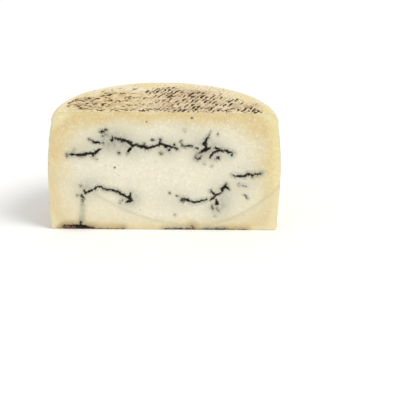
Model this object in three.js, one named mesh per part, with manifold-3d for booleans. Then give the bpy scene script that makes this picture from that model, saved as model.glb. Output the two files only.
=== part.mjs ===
// Half of a pressed sheep's cheese wheel, veined with black truffle and cut down through its middle.
// Sizes are in millimetres. The wheel's axis is upright, the cut face looks towards -Y, and the
// piece stands on its flat base. The rind keeps the print of the basket round the side and of the
// woven mat on the crown, and the truffle seams are shallow furrows in the cut face.

import * as THREE from 'three';
import { mergeGeometries, mergeVertices } from 'three/addons/utils/BufferGeometryUtils.js';
import Module from 'manifold-3d';

// The wheel
const RADIUS = 110;
const HEIGHT = 117;
const CROWN_DOME = 0.65;
const SHOULDER_RADIUS = 8.8;
const SHOULDER_INSET = 4.6;
const BASE_INSET = 1.7;
const BASE_CORNER_RADIUS = 4;
const CORNER_STEPS = 3;
const SHOULDER_STEPS = 4;

// Basket print round the side: blocks about 12 mm wide, in turn proud and sunk, in seven courses
const BASKET_BLOCKS = 56;
const BASKET_COURSES = 7;
const BASKET_DEPTH = 0.9;
const STEPS_PER_BLOCK = 3;
const BLOCK_TURN = 0.25;

// Mat print on the crown: bars pressed in side by side, in rows, leaning off the line across the cut
const MAT_RADIUS = 86;
const BAR_LENGTH = 13;
const SHORTEST_BAR = 0.7;
const BAR_WIDTH = 2;
const BAR_DEPTH = 0.8;
const BAR_PITCH = 4.15;
const ROW_PITCH = 16;
const BAR_LEAN = THREE.MathUtils.degToRad(22.5);

// The print is crisp on the right of this line and comes and goes on the left of it
const CRISP_FROM_X = -22;
const CRISP_SHARE = 0.9;
const WORN_SHARE = 0.4;
const CUT_MARGIN = 1.5;
const PRINT_SEED = 11;

// Truffle seams, seen from the front: each is a run of [x, z, half width]
const SEAM_DEPTH = 0.8;
const SEAMS = [
  [[-89, 74.8, 0.3], [-84, 75.2, 1.1], [-77, 75, 1.4], [-69, 76.6, 0.9], [-64, 77.6, 1.4], [-59, 81, 0.3]],
  [[-68, 89.3, 0.3], [-64.5, 87.2, 1], [-57, 86.4, 0.4]],
  [
    [-47, 92.3, 0.3], [-42.5, 90, 1], [-36, 89, 1.1], [-31.5, 86.5, 1.2], [-25, 84.6, 1.1], [-19, 83.4, 1.2],
    [-15, 82, 0.9], [-9, 84, 0.7], [-3.5, 86.3, 0.9], [1.5, 83.7, 1.7], [7, 83, 0.8], [12.5, 81, 0.3],
  ],
  [[-31, 85, 0.8], [-32.5, 80.5, 1.1], [-35, 76.5, 0.3]],
  [[15.5, 85.5, 0.3], [19, 84, 0.8], [26.5, 84.2, 0.3]],
  [
    [41, 95, 0.3], [39, 91, 1.1], [36.8, 87, 1.3], [38.5, 82, 1.6], [36.5, 79.8, 1.5], [32, 77.5, 0.4],
  ],
  [[38.5, 80.8, 0.8], [41.5, 82, 1.4], [43.5, 83.6, 0.3]],
  [
    [42.6, 73, 0.3], [45.3, 77.5, 0.9], [50.5, 80.3, 1.1], [56, 79.3, 0.9], [62.5, 78.8, 0.9], [63, 75.5, 0.4],
  ],
  [
    [62.4, 57, 0.3], [66.5, 54.5, 0.8], [74, 54.5, 1], [78, 57, 0.9], [82.4, 55.4, 1.2], [86, 56.8, 0.7],
    [91.5, 58.4, 0.3],
  ],
  [
    [-75.5, 40.3, 0.3], [-74.3, 37.2, 1.1], [-69, 39.2, 0.7], [-64.5, 42.6, 0.8], [-58, 41.8, 0.6],
    [-51, 40.4, 0.7], [-43.5, 38.2, 0.9], [-37.5, 34, 1.1], [-32.3, 31, 1.5], [-35.5, 27.8, 0.4],
  ],
  [[16, 30, 0.4], [18.5, 30.8, 1.3], [25.5, 28.4, 0.8], [33, 28.8, 0.7], [40.3, 30.8, 0.3]],
  [[43.6, 30.4, 0.3], [48.5, 35, 0.9], [54, 38.4, 0.7], [55.6, 42.6, 1.3], [59, 43, 1.2], [60.8, 41, 0.3]],
  [[49.3, 31.2, 0.4], [50, 27.6, 1.6], [48.6, 25.9, 0.4]],
];

const CHEESE_COLOUR = 0xece6cd;
const CHEESE_ROUGHNESS = 0.6;

const SIDE_MIDDLE = (HEIGHT - SHOULDER_RADIUS + BASE_CORNER_RADIUS) / 2;
const SIDE_HALF_HEIGHT = (HEIGHT - SHOULDER_RADIUS - BASE_CORNER_RADIUS) / 2;
const SIDE_STEPS = BASKET_COURSES * STEPS_PER_BLOCK;
const ROUND_STEPS = BASKET_BLOCKS * STEPS_PER_BLOCK;

const wasm = await Module();
wasm.setup();

// A repeatable draw of numbers from 0 to 1
function seededDraw(seed) {
  let state = seed;
  return () => {
    state = (state * 16807) % 2147483647;
    return state / 2147483647;
  };
}

// The side bulges: it is widest at the middle of its height
function sideRadius(z) {
  const t = (z - SIDE_MIDDLE) / SIDE_HALF_HEIGHT;
  return RADIUS - (t > 0 ? SHOULDER_INSET : BASE_INSET) * t * t;
}

function crownHeight(r) {
  const flat = RADIUS - SHOULDER_INSET - SHOULDER_RADIUS;
  return HEIGHT + CROWN_DOME * Math.max(0, 1 - (r / flat) ** 2);
}

// Half of the wheel's section, from the middle of the base round to the middle of the crown
function wheelProfile() {
  const points = [new THREE.Vector2(0, 0)];
  const cornerX = RADIUS - BASE_INSET - BASE_CORNER_RADIUS;
  for (let i = 0; i < CORNER_STEPS; i += 1) {
    const a = -Math.PI / 2 + (i / CORNER_STEPS) * (Math.PI / 2);
    const r = cornerX + BASE_CORNER_RADIUS * Math.cos(a);
    points.push(new THREE.Vector2(r, BASE_CORNER_RADIUS * (1 + Math.sin(a))));
  }
  for (let i = 0; i <= SIDE_STEPS; i += 1) {
    const z = BASE_CORNER_RADIUS + (i / SIDE_STEPS) * 2 * SIDE_HALF_HEIGHT;
    points.push(new THREE.Vector2(sideRadius(z), z));
  }
  const shoulderX = RADIUS - SHOULDER_INSET - SHOULDER_RADIUS;
  for (let i = 1; i <= SHOULDER_STEPS; i += 1) {
    const a = (i / SHOULDER_STEPS) * (Math.PI / 2);
    const z = HEIGHT - SHOULDER_RADIUS + SHOULDER_RADIUS * Math.sin(a);
    points.push(new THREE.Vector2(shoulderX + SHOULDER_RADIUS * Math.cos(a), z));
  }
  points.push(new THREE.Vector2(shoulderX / 2, crownHeight(shoulderX / 2)));
  points.push(new THREE.Vector2(0, crownHeight(0)));
  return points;
}

// The whole wheel with the basket's blocks pressed into its side. The lathe turns about its own Y,
// which is then stood up, and a turn by part of a block keeps its vertices off the plane of the cut.
function pressedWheel() {
  const geometry = new THREE.LatheGeometry(wheelProfile(), ROUND_STEPS);
  geometry.rotateX(Math.PI / 2);
  geometry.rotateZ((2 * Math.PI * BLOCK_TURN) / BASKET_BLOCKS);
  const position = geometry.attributes.position;
  const perColumn = wheelProfile().length;
  const firstSide = 1 + CORNER_STEPS;
  for (let i = 0; i < position.count; i += 1) {
    const column = Math.floor(i / perColumn) % ROUND_STEPS;
    const step = (i % perColumn) - firstSide;
    if (step > 0 && step < SIDE_STEPS) {
      const block = Math.floor(column / STEPS_PER_BLOCK);
      const course = Math.floor(step / STEPS_PER_BLOCK);
      if ((block + course) % 2 === 0) {
        const x = position.getX(i);
        const y = position.getY(i);
        const keep = 1 - BASKET_DEPTH / Math.hypot(x, y);
        position.setX(i, x * keep);
        position.setY(i, y * keep);
      }
    }
  }
  return geometry;
}

// What the knife took away: everything in front of the cut
function frontHalf() {
  const box = new THREE.BoxGeometry(3 * RADIUS, 2 * RADIUS, 3 * HEIGHT);
  box.translate(0, -RADIUS, 0);
  return box;
}

// The bars that the mat left in the crown. Across and along are measured on the mat, whose bars lean
function matBars() {
  const draw = seededDraw(PRINT_SEED);
  const bars = [];
  const rows = Math.ceil(MAT_RADIUS / ROW_PITCH);
  const columns = Math.ceil(MAT_RADIUS / BAR_PITCH);
  for (let row = -rows; row < rows; row += 1) {
    for (let column = -columns; column < columns; column += 1) {
      const across = (column + 0.5) * BAR_PITCH;
      const along = (row + 0.5) * ROW_PITCH;
      const x = across * Math.cos(BAR_LEAN) + along * Math.sin(BAR_LEAN);
      const y = along * Math.cos(BAR_LEAN) - across * Math.sin(BAR_LEAN);
      const share = x > CRISP_FROM_X ? CRISP_SHARE : WORN_SHARE;
      const drawn = draw();
      const length = BAR_LENGTH * (SHORTEST_BAR + (1 - SHORTEST_BAR) * draw());
      const onCrown = Math.hypot(x, y) + length / 2 < MAT_RADIUS;
      const clearOfCut = y - (length / 2) * Math.cos(BAR_LEAN) > CUT_MARGIN;
      if (onCrown && clearOfCut && drawn < share) {
        const bar = new THREE.BoxGeometry(BAR_WIDTH, length, 2 * BAR_DEPTH);
        bar.rotateZ(-BAR_LEAN);
        bar.translate(x, y, crownHeight(Math.hypot(x, y)));
        bars.push(bar);
      }
    }
  }
  return mergeGeometries(bars);
}

// One seam's outline, walked up one side of its line and back down the other
function seamShape(seam) {
  const left = [];
  const right = [];
  seam.forEach(([x, z, halfWidth], i) => {
    const before = seam[Math.max(0, i - 1)];
    const after = seam[Math.min(seam.length - 1, i + 1)];
    const along = new THREE.Vector2(after[0] - before[0], after[1] - before[1]).normalize();
    left.push(new THREE.Vector2(x - along.y * halfWidth, z + along.x * halfWidth));
    right.unshift(new THREE.Vector2(x + along.y * halfWidth, z - along.x * halfWidth));
  });
  return new THREE.Shape([...left, ...right]);
}

// One seam as a thin upright slab that reaches from just outside the cut face to its own depth
function seamSlab(seam) {
  const slab = new THREE.ExtrudeGeometry(seamShape(seam), { depth: 2 * SEAM_DEPTH, bevelEnabled: false });
  slab.rotateX(Math.PI / 2);
  slab.translate(0, SEAM_DEPTH, 0);
  return slab;
}

// A closed geometry as a solid that can be joined and cut
function toSolid(geometry) {
  const bare = new THREE.BufferGeometry();
  bare.setAttribute('position', geometry.getAttribute('position'));
  bare.setIndex(geometry.index);
  const merged = mergeVertices(bare, 1e-4);
  const corners = merged.index.array;
  const triangles = [];
  for (let i = 0; i < corners.length; i += 3) {
    const [a, b, c] = [corners[i], corners[i + 1], corners[i + 2]];
    if (a !== b && b !== c && c !== a) triangles.push(a, b, c);
  }
  return new wasm.Manifold(new wasm.Mesh({
    numProp: 3,
    vertProperties: Float32Array.from(merged.attributes.position.array),
    triVerts: Uint32Array.from(triangles),
  }));
}

function toGeometry(solid) {
  const mesh = solid.getMesh();
  const geometry = new THREE.BufferGeometry();
  geometry.setAttribute('position', new THREE.BufferAttribute(mesh.vertProperties, 3));
  geometry.setIndex(new THREE.BufferAttribute(mesh.triVerts, 1));
  geometry.computeVertexNormals();
  return geometry;
}

function cheese() {
  let solid = toSolid(pressedWheel()).subtract(toSolid(frontHalf()));
  solid = solid.subtract(toSolid(matBars()));
  for (const seam of SEAMS) solid = solid.subtract(toSolid(seamSlab(seam)));
  return toGeometry(solid);
}

const material = new THREE.MeshStandardMaterial({
  name: 'cheese',
  color: CHEESE_COLOUR,
  roughness: CHEESE_ROUGHNESS,
  metalness: 0,
  flatShading: true,
});

const piece = new THREE.Mesh(cheese(), material);
piece.name = 'cheese_half_wheel';

// The origin is the middle of the footprint, at the height of the base
const box = new THREE.Box3().setFromObject(piece);
const middle = box.getCenter(new THREE.Vector3());
piece.position.set(-middle.x, -middle.y, -box.min.z);

const cheeseHalf = new THREE.Group();
cheeseHalf.name = 'sheep_cheese_half';
cheeseHalf.add(piece);

export default cheeseHalf;
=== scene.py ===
"""Half of a pressed sheep's cheese wheel with black truffle seams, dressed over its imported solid.

The piece is one closed mesh: the cut face in fine squares with finer ones along the truffle seams,
the crown with the print of the woven mat, and the round side with the print of the basket. Lengths
are millimetres about the wheel's upright axis, with the cut in the plane y = 0, until the mesh is
placed in the frame, which is in metres.
"""

import math

import bmesh
import bpy
import numpy as np
from mathutils import Matrix, Vector, noise


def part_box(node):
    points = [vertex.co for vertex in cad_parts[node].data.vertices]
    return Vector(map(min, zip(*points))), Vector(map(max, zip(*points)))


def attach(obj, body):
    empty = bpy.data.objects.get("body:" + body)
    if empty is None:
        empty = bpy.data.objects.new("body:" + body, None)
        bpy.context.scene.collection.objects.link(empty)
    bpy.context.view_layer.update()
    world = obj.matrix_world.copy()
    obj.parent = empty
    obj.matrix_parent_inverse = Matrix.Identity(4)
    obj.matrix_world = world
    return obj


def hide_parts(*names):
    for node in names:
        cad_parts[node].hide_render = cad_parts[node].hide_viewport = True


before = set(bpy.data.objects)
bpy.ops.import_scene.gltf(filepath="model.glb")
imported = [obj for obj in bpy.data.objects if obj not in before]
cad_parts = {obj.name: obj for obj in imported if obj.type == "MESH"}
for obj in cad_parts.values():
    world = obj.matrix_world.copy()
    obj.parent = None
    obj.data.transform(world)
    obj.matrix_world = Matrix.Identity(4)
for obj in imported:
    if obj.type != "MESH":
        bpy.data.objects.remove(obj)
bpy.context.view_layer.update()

NODE = "cheese_half_wheel"
MM = 0.001
TINY = 1e-6

# The wheel, as in its solid. The radius is half the cut's length, the foot the middle of its lower edge
low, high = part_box(NODE)
RADIUS = (high[0] - low[0]) / 2 / MM
CUT_FOOT = Vector(((low[0] + high[0]) / 2, low[1], low[2]))
CROWN_DOME = 0.65
HEIGHT = (high[2] - low[2]) / MM - CROWN_DOME
SHOULDER_RADIUS = 8.8
SHOULDER_INSET = 4.6
BASE_INSET = 1.7
BASE_CORNER_RADIUS = 4.0
SHOULDER_REACH = RADIUS - SHOULDER_INSET - SHOULDER_RADIUS
BASE_REACH = RADIUS - BASE_INSET - BASE_CORNER_RADIUS
SIDE_LENGTH = HEIGHT - SHOULDER_RADIUS - BASE_CORNER_RADIUS

# Squares of the mesh along the cut, from the cut to the back, and up the side
SQUARES_ACROSS = 180
SQUARES_DEEP = 90
SQUARES_UP = 104
CUT_EDGE_BEVEL = 0.4

# Along the truffle seams and dots the squares are halved twice, within these distances of their edge
REFINE_WITHIN = (2.2, 0.9)

# Black truffle seams on the cut face, seen from the front, and last short dark bits along the cut's bottom
# edge: runs of (x, z, half width)
SEAMS = [
    [(-88.5, 74.8, .4), (-85.5, 75.4, 1.1), (-82, 75, .8), (-79, 74.7, 1.3), (-76, 75.2, 1.4),
     (-72, 76, 1), (-69, 76.6, .9), (-66.5, 76.2, 1.2), (-64, 77.6, 1.4), (-62, 79.3, 1),
     (-60, 80.8, .5)],
    [(-67.5, 75.6, .6), (-66.5, 74.5, 1.2)],
    [(-68, 89.3, .3), (-66, 87.8, .8), (-64.5, 87.1, 1), (-62.5, 87.4, .9), (-60, 86.9, .6),
     (-57.3, 86.4, .5)],
    [(-48.7, 93.5, .5), (-48.5, 91, .7), (-49.3, 89.2, 1)],
    [(-46.5, 92.3, .3), (-44.5, 91, .6), (-42.5, 90, 1), (-41, 90.6, 1.2), (-39, 89.5, 1.5),
     (-37, 89.6, 1.3), (-35.9, 88.7, .5), (-34.5, 88.2, 1.1), (-32, 87.5, 1.5), (-31.5, 85.5, .9),
     (-30.5, 84, 1.3), (-28.5, 84.3, 1), (-26, 85.3, 1.1), (-24.5, 84.2, 1.1), (-22, 83.5, 1.1),
     (-20, 83.8, 1.3), (-18, 83, 1.6), (-16, 81.5, 1.3), (-14, 82.2, .9), (-11, 83.6, .7),
     (-8.5, 84.2, .6), (-5.5, 85, .9), (-4, 86.2, .9), (-2, 86, .9), (0, 84.8, 1.3), (1.5, 83.7, 1.7),
     (4, 84.3, .9), (6, 83.2, .8), (8.5, 82.7, .8), (11, 81.8, .9), (12.3, 81, .4)],
    [(-19, 84, .8), (-18.7, 86.3, .4)],
    [(-4.5, 86.5, .7), (-4.6, 88, .7), (-3.8, 90.3, .7)],
    [(-31, 83, 1), (-32.5, 80.5, 1.1), (-34, 78.5, .9), (-34.8, 77, .6)],
    [(4.5, 80.3, .8)],
    [(9, 85.5, .7)],
    [(15.8, 86.4, .3), (17, 84.5, .6), (19, 84, .8), (22, 84.3, .7), (24.5, 84.5, .8), (26.3, 84.2, .5)],
    [(40.3, 93.5, .5), (39, 91, 1.1), (37.8, 88.8, 1.2), (36.5, 87, 1.3), (37.3, 85.2, 1.1),
     (38.6, 83.2, 1.3), (38.5, 81.2, 1.8), (36.5, 79.8, 1.5), (34, 79, 1), (32.4, 77.8, .4)],
    [(39, 81, 1.2), (41.5, 82, 1.3), (43, 83.6, .4)],
    [(31, 82, .5), (28.5, 82.8, .5)],
    [(42.7, 73, .4), (43.7, 75.5, .8), (45.3, 77.5, .9), (47.5, 79, .9), (50, 80, 1.1), (52, 80.6, 1),
     (55, 79.4, .9), (57.5, 79.5, .7), (59.5, 78.6, .8), (61, 78.8, .6), (62.7, 78.7, .7),
     (63.8, 77.2, .8), (62.8, 75.7, .8)],
    [(47.2, 82.3, .7), (50.5, 82, .6), (53, 80.8, .6)],
    [(49.8, 72.8, 1.3)],
    [(-58.3, 98, .6), (-56.5, 97.8, .6), (-55, 99, .4)],
    [(-42.6, 77, .5)],
    [(-3.2, 77, .5)],
    [(29, 72.2, .3), (31, 71.2, .5), (33, 72.7, .4)],
    [(64, 55.8, .2), (66.5, 54.5, .5), (69, 54.4, .9), (72, 54.6, 1), (75, 54.5, .8), (76.5, 55.7, .7),
     (78, 57.1, .9), (80, 56.7, .8), (82, 56, 1.3), (82.8, 55, 1), (84.5, 57, .7), (87, 56.5, .7),
     (89, 57, .8), (91, 58.2, .4)],
    [(-77.5, 34.3, .7), (-76.2, 32, .8), (-77, 30.5, .4)],
    [(-75.5, 40.3, .4), (-75.3, 38.5, .6), (-74.3, 37, 1.1), (-72, 37.8, .7), (-70, 39, .7),
     (-67, 40, .6), (-65.3, 40.8, 1), (-64.5, 42.7, .6), (-61.5, 43.4, .6), (-59, 42.8, .6),
     (-57, 40.9, .7), (-54, 40.6, .7), (-51, 40.4, .7), (-48, 39.7, .8), (-45, 38.9, .9),
     (-42.5, 37.7, 1), (-40, 35.6, 1), (-37.5, 34, 1.1), (-35, 33, 1.2), (-32.5, 31.6, 1.4),
     (-31.2, 29.5, 1.5), (-33.5, 28.2, 1.1), (-35.3, 28, .7)],
    [(-33.5, 32.5, 1), (-32.2, 34, 1), (-31.5, 36.5, .7)],
    [(-31, 29, .8), (-29.3, 28.7, .4)],
    [(16, 30, .4), (17.5, 30.8, 1.2), (18.5, 31.3, 1.2), (20.5, 31, .9), (22.5, 30.5, .8),
     (24.5, 28.8, .8), (27, 28, .8), (30, 28.4, .7), (33, 28.8, .7), (36, 29.8, .6), (39, 30.3, .8),
     (40.3, 30.9, .4)],
    [(18, 30, .9), (17.8, 29, .5)],
    [(43.6, 30.4, .3), (45.5, 32, .7), (47.5, 34, .8), (49.5, 35.7, .8), (52, 37, .6), (54, 38.3, .6),
     (55, 40, .9), (54.5, 41.5, 1.6), (56.5, 43.5, 1.6), (57.8, 45, 1.2), (59, 43, 1.4),
     (60.6, 41.2, .4)],
    [(58, 45, .6), (58.6, 47, .4)],
    [(48.5, 36, .6), (46.5, 37.5, .6), (45, 38.5, .7), (44.5, 39.5, .5)],
    [(49.3, 31, .4), (49.5, 29, .6), (50, 27.5, 1.5), (51, 26.5, 1.1), (49, 26.2, .8)],
    [(-95, 3.6, .2), (-91, 3.7, .6), (-87, 3.6, .6), (-82, 3.5, .8), (-79, 3.4, 1.3), (-75.5, 2.9, .9),
     (-72, 2.2, .6), (-66, 1.2, .3)],
    [(-79.2, 4.4, 1.1), (-79, 7.4, .5)],
    [(-84, 1.8, .1), (-80, 1.6, .6), (-75, 1.6, .7), (-69, .8, .3)],
    # Short dark bits along the cut's bottom edge, where it stands on the floor
    [(-40, .1, .5), (-38.5, .1, .5)],
    [(0, 0, .4), (5, .1, .4)],
    [(8, .2, .7), (17.5, .2, .8)],
    [(21, 0, .6), (27, 0, .6)],
    [(41, .1, .7), (46, .1, .7)],
    [(50, .2, .8), (57, .3, .8)],
]

# Fainter, greyish strokes where the truffle only stains the paste or lies just under the cut, and a thin
# grey line along the cut's bottom edge
SMUDGES = [
    [(-91.5, 76, .8), (-91, 73, .6)], [(-84, 80, .8)], [(-63.3, 70.3, .7)],
    [(-70.5, 90.5, .8), (-69, 89.6, .6)],
    [(-60, 98.2, .6), (-58, 98, 1), (-56.5, 97.7, 1), (-55.5, 99.3, .7), (-54, 100, .5)],
    [(-57.7, 93.6, .9)], [(-55, 96, .6), (-53.2, 94.5, .8)], [(-42.6, 77, 1)], [(-3.2, 77, 1)],
    [(-12, 90.4, .8), (-9, 90, .5)], [(14, 88.3, .5), (15.8, 90, .4)],
    [(42.5, 99.5, .1), (41.5, 96, .1), (40.6, 94, .3)],
    [(33, 78.3, .8), (31.5, 77, .6), (28.7, 75, .7), (29, 72.4, .6), (31, 71, .6)],
    [(33, 72.7, .7), (34.5, 74.4, .6)], [(47, 70.4, .7)], [(44.3, 65.2, .8)], [(37.2, 67, .5)],
    [(49.2, 96, .8)], [(18.5, 100, .9)], [(54.5, 80.8, .5), (58, 80.8, .5)],
    [(70.5, 46.3, .8), (73, 45.6, .5), (77, 44.7, .7)], [(75.5, 36, .4), (77.5, 33.8, .9), (79, 32.5, .6)],
    [(-42.3, 26, .4), (-41, 28.5, .5), (-39.5, 30, .4)], [(-78.5, 44.3, .8)], [(-82, 34, .7)],
    [(-77, 29, .4), (-76.7, 26, .2)], [(5, 37.3, .9)], [(12.8, 35, .8), (11.3, 35, .4)], [(10.5, 15, .8)],
    [(45.5, 25.2, .8), (46.3, 20.6, .7)], [(49.5, 22, .5), (52.3, 19.3, .6)], [(48.7, 14, .7)],
    # The last stroke is a thin grey line along the cut's bottom edge, where it stands on the floor
    [(-101.5, 1.8, .6), (-95, 1.8, 1)], [(2, .5, .7), (80, .6, .6)],
]

# Small round grains that lie alone
DOTS = [[(24.9, 111.8, .9)], [(-17, 107.8, .6)], [(-46.5, 62.6, .8)]]

# Red-brown rind that shows along the bottom of the cut, where the knife dragged it up, and further right
# thin dark lines along the cut's bottom edge
BOTTOM_CRUST = [
    [(-96, 1.6, .3), (-92, 1.6, 1.3), (-88, 1.7, 1.8), (-80, 1.6, 1.9), (-73, 1.1, 1.3), (-66, .4, .7),
     (-54, 0, .5), (-40, 0, .3)],
    [(27, 3.6, .6), (28.3, 1.4, 1.2)],
    # A thin dark line along the cut's bottom edge, where it stands on the floor
    [(60, -.8, .5), (78, -.8, .6)],
]

# Blue-grey bloom that the truffle gives the paste round it: (x, z, radius, strength)
BLOOMS = [
    (-50, 90, 12, .7), (-65, 83, 12, .35), (-37, 86, 12, .45), (-26, 83, 12, .35), (-10, 87, 10, .25),
    (2, 82, 10, .58), (15, 85, 9, .15), (34, 85, 12, .5), (47, 80, 11, .6), (60, 78, 8, .3),
    (31, 73, 8, .3), (-85, 77, 9, .3), (-75, 76, 8, .2), (-73, 41, 11, .6), (-60, 45, 11, .2),
    (-46, 37, 9, .1), (-32, 31, 10, .75), (3, 31, 15, .17), (20, 29, 10, .3), (54, 40, 10, .25),
    (58, 38, 20, .17), (51, 24, 12, .55), (76, 56, 14, .24), (74, 44, 9, .12), (16, 98, 10, .15),
    (-76.8, 25, 3, .7), (-77.2, 19, 3, .7), (-77.7, 13, 3, .8), (-78.4, 8, 3.5, .9),
]

# How far the ripened, golden paste reaches in from each side of the cut
BAND_CROWN = 23
BAND_CROWN_AT_ENDS = 12
BAND_LEFT = 36
BAND_RIGHT = 39
BAND_BASE = 17
BAND_WANDER = 0.14
BAND_WANDER_SIZE = 16
CORNER_SHARPNESS = 2.5
LARGEST_SHARE = 3

# Painted light and shade: close to its ends the cut is painted brighter on the right, where the key light
# falls, and greyer on the left, which lies in shade: (from, to) in mm
PAINTED_LIGHT_END = (14, 2.5)
PAINTED_SHADE_END = (3.5, 0.5)

# The knife was drawn out along a shallow bow. Its lowest point, the height there and the rise to
# either side give the bow, and the paste below it stands a little proud
BOW_LOW_X = 30
BOW_LOW_Z = 4.5
BOW_RISE_LEFT = 0.0035
BOW_RISE_RIGHT = 0.0065
BOW_STEP = 0.25
BOW_LINE = 1.6
BOW_FADES = (-80, -62)

# The bow's step rises over this height, and the cut sways a little: (depth, size)
BOW_STEP_WIDTH = 2
CUT_SWAY = (0.1, 18)

# Depth of a seam's furrow in the cut, and how far outside the seam it starts
SEAM_FURROW = 0.5
SEAM_EDGE = 0.8

# Mat print on the crown and the base: pressed bars that lean off the line across the cut
BAR_PITCH = 4.15
BAR_ROW = 16.0
BAR_LEAN = math.radians(22.5)
BAR_DEPTH = 0.5
BAR_WALLS = (0.3, 0.75)
BAR_ENDS = (0.02, 0.2)
MAT_REACH = 91
MAT_FADE = 7

# Left of here the mat's print is worn down to this share of its depth
WORN_LEFT_OF = -24
WORN_WIDTH = 14
WORN_DEPTH = 0.35

# The paste in the bars is drawn out in streaks, counted across a bar and along a row
STREAKS = (2.1, 3.5, 0)

# Along the crown's front edge the print and the stains set in: (from, to) in mm behind the cut
PRINT_STARTS = (-1, 3)
STAIN_STARTS = (-2.5, 1.5)

# Broad stains that the mat left in the crown: (x, y, radius, strength)
STAINS = [
    (8, 8, 9, .4), (24, 8, 9, .4), (40, 8, 9, .4), (55, 8, 8, .4), (34, 50, 22, .45), (8, 68, 14, .3),
    (28, 64, 12, .3), (62, 24, 12, .2), (44, 24, 13, .25), (8, 30, 16, .3), (5, 14, 8, .45),
    (76, 18, 13, .5), (86, 30, 8, .2), (-70, 30, 17, .55), (-77, 38, 9, .5), (-48, 58, 11, .5),
    (-46, 40, 16, .4), (-30, 16, 14, .25), (-75, 12, 9, .35), (-22, 50, 13, .3), (-6, 48, 12, .25),
    (-16, 12, 11, .25), (-8, 28, 12, .2), (-56, 18, 12, .45), (-88, 24, 9, .4), (-40, 6, 8, .3),
    (-52, 62, 7, .3), (5, 50, 9, .25),
]

# The faint stain over the rest of the crown, and the even one of the base
CROWN_STAIN = 0.06
BASE_STAIN = 0.3

# Marks where the mat left dark paste in the print: (x, y, radius), and the most where they overlap
MOST_INK = 1.2
DARK_MARKS = [
    (2.5, 57, 4), (5, 63, 6), (5, 80, 4), (11, 76, 4), (22, 60, 5), (24, 46, 4), (24, 54, 4), (29, 45, 4),
    (32, 52, 4), (32, 61, 4), (38, 54, 3), (40, 39, 5), (43, 45, 3), (46, 34, 3), (47, 57, 3), (54, 49, 3),
    (61, 37, 3), (62, 26, 5), (67, 41, 4), (74, 31, 4), (9, 26, 4), (2.5, 35, 4), (18, 38, 4), (27, 25, 4),
    (15, 8, 5), (26, 12, 5), (32, 14, 5), (44, 10, 5), (57, 11, 5), (75, 5, 5), (76, 15, 4), (82, 11, 4),
    (83, 3, 4), (88, 1, 3), (-51, 66, 5), (-56, 67, 5), (-57, 57, 5), (-42, 57, 3), (-47, 73, 3),
    (-80, 34, 6), (-73, 29, 3), (-68, 26, 6), (-67, 36, 5), (-65, 19, 4), (-91, 28, 3), (-84, 35, 4),
    (-78, 13, 4), (-73, 12, 4), (-86.5, 11, 2.5), (-60, 43, 6), (-49, 29, 4), (-45, 33, 4), (-38, 37, 4),
    (-33, 46, 4), (-20, 44, 3), (-17, 63, 5), (-8, 65, 4), (-13, 67, 4), (-33, 8, 4), (-42, 8, 4),
    (-30, 20, 4), (-58, 8, 3), (-20, 6, 4), (-6, 6, 3), (-12, 30, 4), (-40, 73, 5), (-30, 75, 4),
    (-6, 74, 5), (14, 72, 5), (24, 71, 5), (12, 62, 5), (30, 66, 5), (40, 62, 4), (6, 48, 5), (-74, 39, 5),
    (-62, 24, 4), (5, 14, 5), (73, 14, 4), (66, 12, 4), (-40, 5, 4), (-52, 63, 5), (3, 75, 5), (3, 50, 5),
    (28, 37, 4), (73, 37, 4), (50, 24, 4), (39, 15, 5), (86, 5, 4),
]

# Flecks of dark paste in a strip along the crown's front edge: how far in, its width, from and to
STRIP_IN = 7
STRIP_WIDTH = 4
STRIP_ENDS = ((-66, -58), (92, 84))

# Basket print on the side: blocks of upright bars, in turn proud and sunk, in courses
BLOCKS_ROUND = 28
COURSES = 7
BARS_PER_BLOCK = 3
BLOCK_DEPTH = 0.9
BLOCK_BAR_DEPTH = 0.3
BLOCK_BAR_WALLS = (0.3, 0.8)
BLOCK_EDGE = 0.32
BASKET_FADE = 3

# Lumps in the rind: (height, size)
RIND_LUMPS = [(0.35, 26), (0.45, 8)]

# The cut's rim moves with the rind over this width. Closer to the axis than this nothing moves inward more
RIM_FOLLOWS = 3
NEAR_AXIS = 1

# The print wanders, broadly and from bar to bar, by these shares of a bar: (share, size in mm)
WARPS = [(0.3, 30), (0.17, 9)]
BASKET_WARP = (0.4, 0.3)

# Each noise is taken from a place of its own, this far on for each seed
NOISE_STEP = (17.3, 5.1, 9.7)
RIND_SEED = 1
CUT_SEED = 3
BAND_SEED = 4
PRINT_SEED = 5


# Numbers and fields

def smooth(a, b, value):
    """Rises smoothly from 0 at a to 1 at b, and falls where b is below a."""
    t = np.clip((value - a) / (b - a), 0, 1)
    return t * t * (3 - 2 * t)


def lumps(points, size, seed):
    """Soft noise from about -1 to 1 at each of the points, with swells of the given size."""
    shift = Vector([seed * step for step in NOISE_STEP])
    return np.array([noise.noise(Vector(p) / size + shift) for p in points])


def stroke_distance(x, z, strokes):
    """Distance of each point to the nearest stroke's edge, less than 0 inside it."""
    nearest = np.full(len(x), np.inf)
    for stroke in strokes:
        ends = stroke[1:] or stroke
        for (x0, z0, h0), (x1, z1, h1) in zip(stroke, ends):
            dx, dz = x1 - x0, z1 - z0
            t = np.clip(((x - x0) * dx + (z - z0) * dz) / max(dx * dx + dz * dz, TINY), 0, 1)
            away = np.hypot(x - x0 - t * dx, z - z0 - t * dz) - (h0 + t * (h1 - h0))
            nearest = np.minimum(nearest, away)
    return nearest


def spots(x, y, marks):
    """Sum of soft round spots, each (x, y, radius) or (x, y, radius, strength)."""
    total = np.zeros(len(x))
    for mark in marks:
        strength = mark[3] if len(mark) > 3 else 1
        total += strength * np.exp(-((x - mark[0]) ** 2 + (y - mark[1]) ** 2) / mark[2] ** 2)
    return total


# The form of the wheel

def side_radius(z):
    """The side bulges: it is widest at the middle of its height."""
    t = (z - BASE_CORNER_RADIUS - SIDE_LENGTH / 2) / (SIDE_LENGTH / 2)
    return RADIUS - np.where(t > 0, SHOULDER_INSET, BASE_INSET) * t * t


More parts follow.
